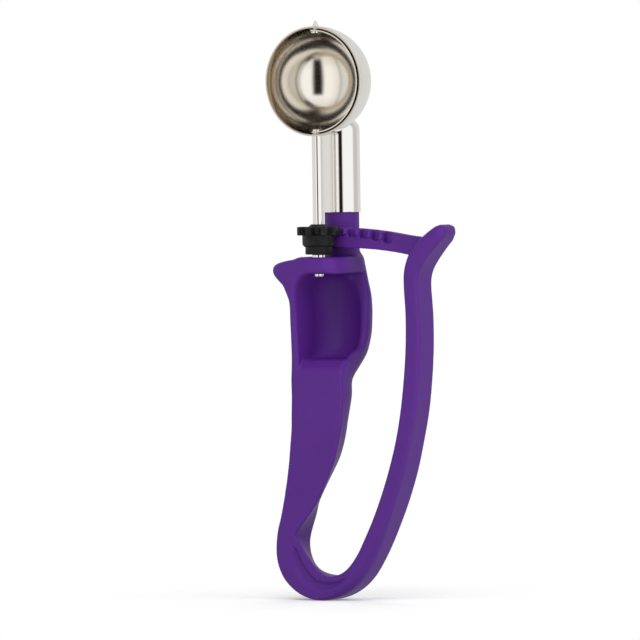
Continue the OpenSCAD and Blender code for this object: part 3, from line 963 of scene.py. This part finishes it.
@dataclass
class Scraper:
    """Scraper band with its eyes, upper pivot pin and drive rod, which turn as one."""

    bowl_z: float = 120.0
    # The band: its radii at the eyes, how far it stands in half way round, and its width.
    outer: float = 19.55
    inner: float = 18.85
    slack: float = 0.55
    width: float = 4.6
    # The pin, with its collar and point measured from the bowl's centre.
    head_r: float = 1.8
    head_thick: float = 0.7
    shank_r: float = 0.95
    collar_r: float = 1.2
    collar_z: float = 20.85
    point_r: float = 0.25
    point_z: float = 22.7
    # The rod, whose reduced end goes through the band and is headed.
    rod_r: float = 2.0
    rod_low: float = 46.3
    rod_tip_r: float = 1.2
    rod_head: float = 0.8
    seat: float = 0.1

    def band(self) -> Surface:
        """Band along a half circle of the ball.

        s runs along the half circle from below the lower pole to past the upper one, and the half
        width is that of the strip, less towards each end as a half disc about the pole. Round the
        strip's section the point is at radius r and offset w across it: a superellipse between
        the outer and the inner radius, thinned where the strip is narrow. Away from the poles it
        stands in by the slack times the square of sin s.

        Returns:
            The band's surface.
        """
        half = self.width / 2
        reach = half / self.outer
        end = reach * (1 - np.cos(np.linspace(0, np.pi / 2, 14)))
        middle = np.linspace(0, np.pi, 120)[1:-1]
        s = np.concatenate([-reach + end, middle, np.pi + reach - end[::-1]])
        past = np.maximum(np.maximum(-s, s - np.pi), 0) * self.outer
        wide = np.sqrt(np.maximum(half**2 - past**2, 0))[:, None]
        a = np.linspace(0, 2 * np.pi, 32, endpoint=False)[None, :]
        flatness, crown, thinned_below = 0.28, 0.5, 0.6
        across = np.sign(np.cos(a)) * np.abs(np.cos(a)) ** flatness * wide
        depth = np.sign(np.sin(a)) * np.abs(np.sin(a)) ** crown * (self.outer - self.inner) / 2
        depth = depth * np.minimum(wide / thinned_below, 1)
        lean = np.arcsin(across / self.outer)
        s = s[:, None] + 0 * a
        r = (self.outer + self.inner) / 2 + depth - self.slack * np.sin(s) ** 2
        x, z = r * np.cos(lean) * np.sin(s), -r * np.cos(lean) * np.cos(s)
        return Surface.from_grid(np.stack([x, r * np.sin(lean), z + self.bowl_z], axis=-1))

    def pin(self) -> Surface:
        """Pivot pin: flat head inside the bowl, shank, collar and blunt point outside it.

        Returns:
            The pin's surface.
        """
        top = self.bowl_z + self.inner - self.seat
        collar, point = self.bowl_z + self.collar_z, self.bowl_z + self.point_z
        corners = [
            [0, top - self.head_thick], [self.head_r, top - self.head_thick],
            [self.head_r, top], [self.shank_r, top], [self.shank_r, collar],
            [self.collar_r, collar], [self.point_r, point], [0, point],
        ]  # fmt: skip
        return Surface.from_grid(turned(eased(corners, [0, 0.2, 0.1, 0, 0, 0.1, 0.1, 0]), 48))

    def rod(self) -> Surface:
        """Drive rod: domed lower end, plain shank, shoulder under the band and a formed head.

        Returns:
            The rod's surface.
        """
        shoulder, low = self.bowl_z - self.outer, self.bowl_z - self.inner + self.seat
        corners = [
            [0, self.rod_low], [self.rod_r, self.rod_low], [self.rod_r, shoulder],
            [self.rod_tip_r, shoulder], [self.rod_tip_r, low], [self.head_r, low],
            [self.head_r, low + self.rod_head], [0, low + self.rod_head],
        ]  # fmt: skip
        profile = eased(corners, [0, 1.35, 0.15, 0, 0, 0.1, 0.5, 0], 8)
        return Surface.from_grid(turned(profile, 96))

    def build(self, bright: bpy.types.Material) -> None:
        """Build and dress the band, the pin and the rod.

        Args:
            bright: The polished stainless.
        """
        parts = (
            ("scraper_band", self.band(), "scraper_blade"),
            ("pivot_pin_turned", self.pin(), "pivot_pin"),
            ("drive_rod_turned", self.rod(), "drive_rod"),
        )
        for name, shape, node in parts:
            dress(shape.build(name, 35), bright, Body.SCRAPER, [node])


@dataclass
class Pinion:
    """Black moulded pinion: collar, bevelled body, eight blunt teeth and a hub."""

    teeth: int = 8
    tip_r: float = 8.1
    root_r: float = 5.2
    # Half a tooth's angle at its root, and the angle that its flank takes up.
    tooth_half: float = 0.262
    flank: float = 0.135
    collar_r: float = 5.0
    body_r: float = 6.1
    hub_r: float = 3.0
    bevel: float = 0.7
    edge: float = 0.28
    # Heights of the foot, the body, the teeth, their top and the hub's top.
    heights: tuple[float, ...] = (55.05, 57.95, 62.25, 65.45, 66.35)

    def build(self, black: bpy.types.Material) -> None:
        """Build and dress the pinion from rings up its axis.

        Round the toothed band the radius at angle a is the root radius plus the tooth's height
        times a smooth step down the flank; every ring of the other parts is a plain circle, and
        each edge is eased by a ring a little inside it and one a little past it.

        Args:
            black: The moulded acetal.
        """
        a = np.linspace(0, 2 * np.pi, 48 * self.teeth, endpoint=False)
        pitch = 2 * np.pi / self.teeth
        from_tooth = np.abs((a - np.pi / 2 + pitch / 2) % pitch - pitch / 2)
        share = ramp(from_tooth, self.tooth_half, self.tooth_half - self.flank)
        gear = self.root_r + (self.tip_r - self.root_r) * smoothstep(share)
        low, body, tooth, top, hub = self.heights
        e, bevel, soft = self.edge, self.bevel, 0.3 * self.edge
        rings = [(0, low), (self.collar_r - e, low), (self.collar_r, low + e)]
        rings += [(self.collar_r, body - e), (self.collar_r + e / 2, body)]
        rings += [(self.body_r - bevel, body), (self.body_r - 0.1, body + bevel)]
        rings += [(self.body_r, body + 2 * bevel), (self.body_r, tooth)]
        band = [(-e - 0.05, tooth), (-e, tooth), (-soft, tooth + soft), (0, tooth + e)]
        band += [(0, top - e), (-soft, top - soft), (-e, top)]
        rings += [(np.maximum(gear + grown, 0.1), h) for grown, h in band]
        rings += [(self.hub_r + bevel, top), (self.hub_r + 0.1, hub - e)]
        rings += [(self.hub_r, hub - e / 2), (self.hub_r - e, hub), (0, hub)]
        grid = [np.stack([r * np.cos(a), r * np.sin(a), 0 * a + h], -1) for r, h in rings]
        obj = Surface.from_grid(np.stack(grid)).build("pinion_moulded", 50)
        dress(obj, black, Body.SCRAPER, ["pinion"])


@dataclass
class Stem:
    """Polished stem tube, closed and rounded at its upper end, and the bush in the shelf."""

    radius: float = 7.15
    wall: float = 0.6
    place_y: float = 17.9
    low: float = 70.6
    top: float = 105.6
    rounding: float = 4.0
    # How far up the bore is open, the bowl's centre, and a radius within the bowl's wall.
    bore: float = 6.0
    bowl_z: float = 120.0
    bowl_r: float = 20.35
    bush_inner: float = 2.06
    bush_outer: float = 2.5
    bush_low: float = 49.0
    bush_top: float = 55.0

    def tube(self) -> Surface:
        """Tube turned about its own axis; the points that fall inside the bowl are moved away
        from the bowl's centre into its wall.

        Returns:
            The tube's surface.
        """
        inner, cut = self.radius - self.wall, self.rounding
        a = np.linspace(0, np.pi / 2, 16)[:, None]
        arc = np.concatenate([np.cos(a), np.sin(a)], axis=1)
        out = arc * cut + [self.radius - cut, self.top - cut]
        foot = [[inner, self.low + self.bore], [inner, self.low], [self.radius, self.low]]
        rise = np.linspace(self.low + 0.4, self.top - cut - 0.2, 40)
        straight = np.stack([np.full(40, self.radius), rise], -1)
        flat = np.stack([np.linspace(self.radius - cut, 0, 16)[1:], np.full(15, self.top)], -1)
        closed = [[0, self.low + self.bore]]
        profile = np.concatenate([closed, eased(foot, [0, 0.15, 0.15]), straight, out, flat])
        off = turned(profile, 160, (0, self.place_y)) - [0, 0, self.bowl_z]
        distance = np.linalg.norm(off, axis=-1, keepdims=True)
        moved = off * np.maximum(self.bowl_r / np.maximum(distance, 1e-9), 1)
        return Surface.from_grid(moved + [0, 0, self.bowl_z])

    def bush(self) -> Surface:
        """Plain steel bush: a ring with eased edges.

        Returns:
            The bush's surface.
        """
        inner, outer, low, top = self.bush_inner, self.bush_outer, self.bush_low, self.bush_top
        corners = [[inner, low], [inner, top], [outer, top], [outer, low]]
        return Surface.from_grid(turned(eased(corners, [0.1, 0.12, 0.15, 0.1]), 64), True)

    def build(self, bright: bpy.types.Material) -> None:
        """Build and dress the tube and the bush.

        Args:
            bright: The polished stainless.
        """
        tube = self.tube().build("stem_tube", 50)
        bush = self.bush().build("shelf_bush_turned", 40)
        dress(tube, bright, Body.HANDLE, ["shaft_tube"])
        dress(bush, bright, Body.HANDLE, ["shelf_bush"])


# ---- finishes ----


def linear(colour: str) -> tuple[float, float, float, float]:
    """sRGB hex to linear: c / 12.92 below 0.04045, else ((c + 0.055) / 1.055) ^ 2.4.

    Args:
        colour: The colour, as #rrggbb.

    Returns:
        Red, green, blue and an alpha of 1.
    """
    parts = [int(colour.lstrip("#")[i : i + 2], 16) / 255 for i in (0, 2, 4)]
    red, green, blue = (
        c / 12.92 if c <= 0.04045 else ((c + 0.055) / 1.055) ** 2.4 for c in parts
    )
    return red, green, blue, 1.0


def add(
    tree: bpy.types.NodeTree,
    kind: str,
    inputs: Optional[dict[Any, Any]] = None,
    **settings: Any,
) -> bpy.types.Node:
    """Add a node to a tree.

    Args:
        tree: The tree it goes in.
        kind: The node's type name, without the leading ShaderNode.
        inputs: What each input gets: a fixed value, an output, or a node for its first output.
        settings: The node's own properties.

    Returns:
        The node.
    """
    node = tree.nodes.new("ShaderNode" + kind)
    for name, value in settings.items():
        setattr(node, name, value)
    for name, value in (inputs or {}).items():
        source = value.outputs[0] if isinstance(value, bpy.types.Node) else value
        if isinstance(source, bpy.types.NodeSocket):
            tree.links.new(source, node.inputs[name])
        else:
            node.inputs[name].default_value = source
    return node


def fresh(name: str) -> tuple[bpy.types.Material, bpy.types.NodeTree, bpy.types.NodeSocket]:
    """New material with an emptied tree.

    Args:
        name: The material's name.

    Returns:
        The material, its tree and the Object coordinates.
    """
    material = bpy.data.materials.new(name)
    material.use_nodes = True
    tree = material.node_tree
    tree.nodes.clear()
    return material, tree, add(tree, "TexCoord").outputs["Object"]


def per(size_mm: float) -> float:
    """Scale of a pattern whose features have this size."""
    return 1 / (size_mm * MM)


def direct(tree: bpy.types.NodeTree) -> bpy.types.Node:
    """Mask of the rays by which the camera sees straight or through a clear piece.

    Args:
        tree: The tree it goes in.

    Returns:
        The node that gives 1 on those rays and 0 on others.
    """
    rays = add(tree, "LightPath").outputs
    seen = {0: rays["Is Camera Ray"], 1: rays["Is Transmission Ray"]}
    return add(tree, "Math", seen, operation="MAXIMUM")


@dataclass(frozen=True)
class SatinPolypropylene:
    """Injection-moulded polypropylene from a lightly spark-eroded tool: an even deep colour, a
    broad soft highlight and a grain too fine to see but for a slight breaking of that highlight."""

    colour: str = "#4c1d78"
    deeper: str = "#461a70"
    roughness: float = 0.52
    drift: float = 0.04
    ior: float = 1.49
    specular: float = 0.25
    grain_mm: float = 0.35
    grain_high_mm: float = 0.02
    flow_mm: float = 22.0

    def make(self) -> bpy.types.Material:
        """Colour drifts slightly along the flow of the melt, and roughness with it. The spark
        grain is a low bump, drawn several times coarser than a real one so that it shows.

        Returns:
            The material.
        """
        material, tree, at = fresh("satin_polypropylene_violet")
        melt = {"Scale": per(self.flow_mm), "Detail": 3.0, "Roughness": 0.45}
        flow = add(tree, "TexNoise", {"Vector": at, **melt})
        colours = {6: linear(self.deeper), 7: linear(self.colour)}
        colour = add(tree, "Mix", {0: flow, **colours}, data_type="RGBA")
        low, high = self.roughness - self.drift, self.roughness + self.drift
        rough = add(tree, "MapRange", {"Value": flow, "To Min": low, "To Max": high})
        fine = {"Scale": per(self.grain_mm), "Detail": 2.0, "Roughness": 0.6}
        grain = add(tree, "TexNoise", {"Vector": at, **fine})
        rise = self.grain_high_mm * MM
        bump = add(tree, "Bump", {"Height": grain, "Strength": 0.25, "Distance": rise})
        surface = {"Base Color": colour.outputs[2], "Roughness": rough, "Normal": bump}
        gloss = {"IOR": self.ior, "Specular IOR Level": self.specular}
        shader = add(tree, "BsdfPrincipled", {**surface, **gloss})
        add(tree, "OutputMaterial", {"Surface": shader})
        return material


@dataclass(frozen=True)
class MouldedAcetal:
    """Black glass-filled acetal, moulded: dull, slightly grey on its edges, with a fine grain."""

    colour: str = "#111112"
    worn: str = "#222224"
    roughness: float = 0.48
    specular: float = 0.2
    grain_mm: float = 0.3
    grain_high_mm: float = 0.03
    patch_mm: float = 3.846

    def make(self) -> bpy.types.Material:
        """Grain in bump, drawn coarser than a real one so that it shows, and a paler scuffed
        film in patches a few millimetres across.

        Returns:
            The material.
        """
        material, tree, at = fresh("moulded_acetal_black")
        patch = add(tree, "TexNoise", {"Vector": at, "Scale": per(self.patch_mm), "Detail": 4.0})
        share = add(tree, "MapRange", {"Value": patch, "From Min": 0.45, "From Max": 0.75})
        colours = {6: linear(self.colour), 7: linear(self.worn)}
        colour = add(tree, "Mix", {0: share, **colours}, data_type="RGBA")
        grain = add(tree, "TexNoise", {"Vector": at, "Scale": per(self.grain_mm), "Detail": 3.0})
        rise = self.grain_high_mm * MM
        bump = add(tree, "Bump", {"Height": grain, "Strength": 0.3, "Distance": rise})
        surface = {"Base Color": colour.outputs[2], "Normal": bump}
        gloss = {"Roughness": self.roughness, "Specular IOR Level": self.specular}
        shader = add(tree, "BsdfPrincipled", {**surface, **gloss})
        add(tree, "OutputMaterial", {"Surface": shader})
        return material


@dataclass(frozen=True)
class PolishedStainless:
    """Drawn 18/8 stainless, polished along its length: near mirror, faintly warm, with hairlines
    that stretch highlights a little and a few soft smears."""

    colour: str = "#e7e5e1"
    roughness: float = 0.08
    cleanest: float = 0.03
    smeared: float = 0.05
    line_mm: float = 0.25
    line_high_mm: float = 0.004
    smear_mm: float = 11.111

    def make(self) -> bpy.types.Material:
        """Hairlines are noise squeezed to a twentieth along Z, drawn far wider than real ones so
        that they show; smears lift the roughness.

        Returns:
            The material.
        """
        material, tree, at = fresh("polished_stainless")
        squeeze = add(tree, "Mapping", {"Vector": at, "Scale": (1, 1, 0.05)})
        fine = {"Scale": per(self.line_mm), "Detail": 2.0}
        line = add(tree, "TexNoise", {"Vector": squeeze, **fine})
        smear = add(tree, "TexNoise", {"Vector": at, "Scale": per(self.smear_mm), "Detail": 3.0})
        low, high = self.roughness - self.cleanest, self.roughness + self.smeared
        spread = {"From Min": 0.35, "From Max": 0.75, "To Min": low, "To Max": high}
        rough = add(tree, "MapRange", {"Value": smear, **spread})
        rise = self.line_high_mm * MM
        bump = add(tree, "Bump", {"Height": line, "Strength": 0.15, "Distance": rise})
        metal = {"Base Color": linear(self.colour), "Metallic": 1.0}
        shader = add(tree, "BsdfPrincipled", {"Roughness": rough, "Normal": bump, **metal})
        add(tree, "OutputMaterial", {"Surface": shader})
        return material


@dataclass(frozen=True)
class SpunStainless:
    """Spun 18/8 stainless sheet: bright outside, finely ringed by the spinning tool, dulled a
    little inside by use and washing, and with a brownish dark reflection painted on inside
    towards the rim."""

    bright: str = "#e6e4e0"
    warm: str = "#e7e3db"
    # A brownish colour painted inside the rim as a dark reflection, and how far behind the rim it
    # fades.
    painted_reflection: str = "#b8a68e"
    painted_reflection_mm: tuple[float, float] = (0.5, 5.5)
    ring_mm: float = 0.45
    ring_high_mm: float = 0.003
    stain_mm: float = 6.667
    stained: float = 0.05
    outside: float = 0.1
    inside: float = 0.11
    radius_mm: float = 20.3
    height_mm: float = 120.0

    def make(self) -> bpy.types.Material:
        """Rings are noise along the distance from the bowl's axis, about as far apart as the
        tool's feed leaves them; inside and outside are told apart by the distance from the
        bowl's centre, and the painted brownish dark reflection by the depth behind the rim.

        Returns:
            The material.
        """
        material, tree, at = fresh("spun_stainless")
        centre = (0, 0, self.height_mm * MM)
        centred = add(tree, "VectorMath", {0: at, 1: centre}, operation="SUBTRACT")
        flat = add(tree, "VectorMath", {0: centred, 1: (1, 0, 1)}, operation="MULTIPLY")
        from_axis = add(tree, "VectorMath", {0: flat}, operation="LENGTH").outputs["Value"]
        from_middle = add(tree, "VectorMath", {0: centred}, operation="LENGTH").outputs["Value"]
        turns = {"Scale": per(self.ring_mm), "Detail": 3.0, "Roughness": 0.6}
        ring = add(tree, "TexNoise", {"W": from_axis, **turns}, noise_dimensions="1D")
        stain = add(tree, "TexNoise", {"Vector": at, "Scale": per(self.stain_mm), "Detail": 4.0})
        low, high = (self.radius_mm - 0.2) * MM, (self.radius_mm + 0.2) * MM
        side = add(tree, "MapRange", {"Value": from_middle, "From Min": low, "From Max": high})
        # Painted dark reflection: inside, the colour runs from a brownish ring at the rim to the
        # warm steel a few millimetres in.
        depth = add(tree, "SeparateXYZ", {0: centred}).outputs[1]
        low, high = (v * MM for v in self.painted_reflection_mm)
        reach = {"Value": depth, "From Min": low, "From Max": high}
        deep = add(tree, "MapRange", reach, interpolation_type="SMOOTHSTEP")
        colours = {6: linear(self.painted_reflection), 7: linear(self.warm)}
        inner = add(tree, "Mix", {0: deep, **colours}, data_type="RGBA")
        colours = {6: inner.outputs[2], 7: linear(self.bright)}
        colour = add(tree, "Mix", {0: side, **colours}, data_type="RGBA")
        dull = {"To Min": self.inside, "To Max": self.outside}
        base = add(tree, "MapRange", {"Value": side, **dull})
        rough = add(tree, "Math", {0: stain, 1: self.stained, 2: base}, operation="MULTIPLY_ADD")
        rise = self.ring_high_mm * MM
        bump = add(tree, "Bump", {"Height": ring, "Strength": 0.05, "Distance": rise})
        surface = {"Base Color": colour.outputs[2], "Roughness": rough, "Normal": bump}
        shader = add(tree, "BsdfPrincipled", {**surface, "Metallic": 1.0})
        add(tree, "OutputMaterial", {"Surface": shader})
        return material


# ---- studio ----

# Greys round the tent, from straight behind the scoop (0) by way of the camera (0.5) and back.
TENT = (
    (0.0, "#d8d8d6"), (0.27, "#e4e3e0"), (0.325, "#dedcd8"), (0.344, "#c2bfb8"),
    (0.362, "#eeece8"), (0.42, "#fffdfa"), (0.50, "#fffdfa"), (0.54, "#ffffff"),
    (0.70, "#ffffff"), (0.74, "#c8c8c6"), (0.79, "#c8c8c6"), (0.84, "#dcdcda"),
    (1.0, "#d8d8d6"),
)  # fmt: skip
# The band over the tent, from straight down (0) by way of the level (0.5) to overhead (1).
BAND = (
    (0.0, "#0c0806"), (0.045, "#0c0806"), (0.12, "#eeece8"), (0.3, "#ffffff"),
    (0.75, "#ffffff"), (0.9, "#eeece8"), (0.965, "#0c0806"), (1.0, "#0c0806"),
)  # fmt: skip
# Where the flag stands, round the tent and up it.
FLAG_ROUND = ((0.442, "#000000"), (0.471, "#ffffff"), (0.506, "#ffffff"), (0.535, "#000000"))
FLAG_UP = ((0.06, "#000000"), (0.16, "#ffffff"), (0.72, "#ffffff"), (0.78, "#000000"))


@dataclass(frozen=True)
class SoftBox:
    """Rectangular lamp facing the middle of the scoop; metal shows the tent in its place.

    It stands at an azimuth from the bowl's open side, reach metres out, and height times that up.
    """

    name: str
    azimuth: float
    height: float
    reach: float
    size: tuple[float, float]
    watts: float

    def build(self) -> None:
        """Set up the lamp."""
        a = math.radians(self.azimuth)
        at = Vector((math.sin(a), -math.cos(a), self.height)) * self.reach
        data = bpy.data.lights.new(self.name, "AREA")
        data.shape = "RECTANGLE"
        data.size, data.size_y = self.size
        data.energy = self.watts
        lamp = stand(self.name, data)
        lamp.location = at
        lamp.rotation_euler = (Vector((0, 0, 0.04)) - at).to_track_quat("-Z", "Y").to_euler()
        lamp.visible_glossy = False


SOFT_BOXES = (
    SoftBox("soft_box_left", -35, 0.1, 1.0, (0.5, 1.0), 1.0),
    SoftBox("soft_box_right", 80, 0.3, 1.0, (0.6, 1.0), 5.5),
    SoftBox("soft_box_front", 20, 0.3, 1.0, (0.8, 0.7), 3.0),
    SoftBox("soft_box_above", 20, 1.3, 0.9, (1.0, 1.0), 11.0),
    SoftBox("soft_box_behind", 200, 1.3, 0.9, (1.0, 1.0), 5.0),
)


@dataclass
class Studio:
    """Camera, floor, sky and lamps; distances are in metres but for frame_mm."""

    azimuth: float = 30.0
    elevation: float = 1.6
    roll: float = 0.84
    distance: float = 3.0
    frame_mm: float = 240.3
    sensor_mm: float = 36.0
    aim: tuple[float, float, float] = (0.00011, 0.00007, 0.0304)
    floor_gap: float = 0.0004
    floor_half: float = 3.0
    floor_colour: str = "#fbfbfb"
    shadow_reach: tuple[float, float] = (0.05, 0.14)
    tent_level: float = 1.15
    fill_level: float = 0.34
    flag_colour: str = "#1e1815"

    def camera(self) -> None:
        """Long lens that sees frame_mm across at the scoop, turned about its line of sight."""
        a, e, r = (math.radians(v) for v in (self.azimuth, self.elevation, self.roll))
        back = Vector((math.sin(a) * math.cos(e), -math.cos(a) * math.cos(e), math.sin(e)))
        level = Vector((math.cos(a), math.sin(a), 0))
        above = back.cross(level)
        right = level * math.cos(r) - above * math.sin(r)
        up = above * math.cos(r) + level * math.sin(r)
        data = bpy.data.cameras.new("view")
        data.sensor_width = self.sensor_mm
        data.lens = self.sensor_mm * self.distance / (self.frame_mm * MM)
        data.clip_start = 0.05
        matrix = Matrix((right, up, back)).transposed().to_4x4()
        matrix.translation = Vector(self.aim) + back * self.distance
        camera = stand("view", data)
        camera.matrix_world = matrix
        bpy.context.scene.camera = camera

    def floor(self) -> None:
        """Pale sweep: a disc just under the scoop, matt near it so that it keeps the shadow, and
        passing into plain white for the camera within a hand's breadth."""
        material, tree, at = fresh("pale_floor")
        reach = add(tree, "VectorMath", {0: at}, operation="LENGTH").outputs["Value"]
        low, high = self.shadow_reach
        fade = {"Value": reach, "From Min": low, "From Max": high}
        far = add(tree, "MapRange", fade, interpolation_type="SMOOTHSTEP")
        paper = add(tree, "BsdfDiffuse", {"Color": linear(self.floor_colour)})
        white = add(tree, "Emission", {"Color": (1, 1, 1, 1), "Strength": 1.0})
        share = add(tree, "Math", {0: far, 1: direct(tree)}, operation="MULTIPLY")
        mix = add(tree, "MixShader", {0: share, 1: paper, 2: white})
        add(tree, "OutputMaterial", {"Surface": mix})
        z, half = CAD_BOX[0][2] - self.floor_gap, self.floor_half
        corners = [(-half, -half, z), (half, -half, z), (half, half, z), (-half, half, z)]
        mesh = bpy.data.meshes.new("floor")
        mesh.from_pydata(corners, [], [(0, 1, 2, 3)])
        mesh.materials.append(material)
        obj = stand("floor", mesh)
        obj.visible_glossy = False

    def sky(self) -> None:
        """White to the camera, an even fill for matt surfaces, and a lit tent for metal.

        The tent is a strip of greys by the direction round the scoop, times a band that darkens
        overhead and underfoot. A dark upright flag stands before the camera.
        """
        world = bpy.data.worlds.new("studio")
        world.use_nodes = True
        tree = world.node_tree
        tree.nodes.clear()
        way = add(tree, "TexCoord").outputs["Generated"]
        turned_back = {"Vector": way, "Angle": -math.radians(self.azimuth)}
        turn = add(tree, "VectorRotate", turned_back, rotation_type="Z_AXIS")
        part = add(tree, "SeparateXYZ", {0: turn}).outputs
        back = add(tree, "Math", {0: part[1], 1: -1.0}, operation="MULTIPLY")
        angle = add(tree, "Math", {0: part[0], 1: back}, operation="ARCTAN2")
        circle = {"From Min": -math.pi, "From Max": math.pi}
        around = add(tree, "MapRange", {"Value": angle, **circle})
        height = add(tree, "MapRange", {"Value": part[2], "From Min": -1.0, "From Max": 1.0})
        greys = []
        strips = ((around, TENT), (height, BAND), (around, FLAG_ROUND), (height, FLAG_UP))
        for share, stops in strips:
            node = add(tree, "ValToRGB", {0: share})
            ramp_stops = node.color_ramp.elements
            node.color_ramp.interpolation = "EASE"
            while len(ramp_stops) > 1:
                ramp_stops.remove(ramp_stops[0])
            ramp_stops[0].position, ramp_stops[0].color = stops[0][0], linear(stops[0][1])
            for position, colour in stops[1:]:
                ramp_stops.new(position).color = linear(colour)
            greys.append(node)
        tent, band, wide, tall = greys
        lit = add(tree, "Mix", {0: 1.0, 6: tent, 7: band}, data_type="RGBA", blend_type="MULTIPLY")
        flagged = add(tree, "Math", {0: wide, 1: tall}, operation="MULTIPLY")
        colours = {6: lit.outputs[2], 7: linear(self.flag_colour)}
        dark = add(tree, "Mix", {0: flagged, **colours}, data_type="RGBA").outputs[2]
        shown = add(tree, "Background", {"Color": dark, "Strength": self.tent_level})
        fill = add(tree, "Background", {"Color": (1, 1, 1, 1), "Strength": self.fill_level})
        white = add(tree, "Background", {"Color": (1, 1, 1, 1), "Strength": 1.0})
        glossy = add(tree, "LightPath").outputs["Is Glossy Ray"]
        lighting = add(tree, "MixShader", {0: glossy, 1: fill, 2: shown})
        mix = add(tree, "MixShader", {0: direct(tree), 1: lighting, 2: white})
        add(tree, "OutputWorld", {"Surface": mix})
        bpy.context.scene.world = world

    def build(self) -> None:
        """Set up the view, the floor, the sky and the soft boxes."""
        bpy.context.scene.view_settings.view_transform = "Standard"
        self.camera()
        self.floor()
        self.sky()
        for box in SOFT_BOXES:
            box.build()


def main() -> None:
    """Build the studio and the scoop."""
    logging.basicConfig(level=logging.INFO, format="%(name)s %(message)s")
    Studio().build()
    purple, black = SatinPolypropylene().make(), MouldedAcetal().make()
    bright, spun = PolishedStainless().make(), SpunStainless().make()
    Bowl().build(spun)
    Scraper().build(bright)
    Pinion().build(black)
    Stem().build(bright)
    Moulding().build(purple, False)


if __name__ == "__main__":
    main()
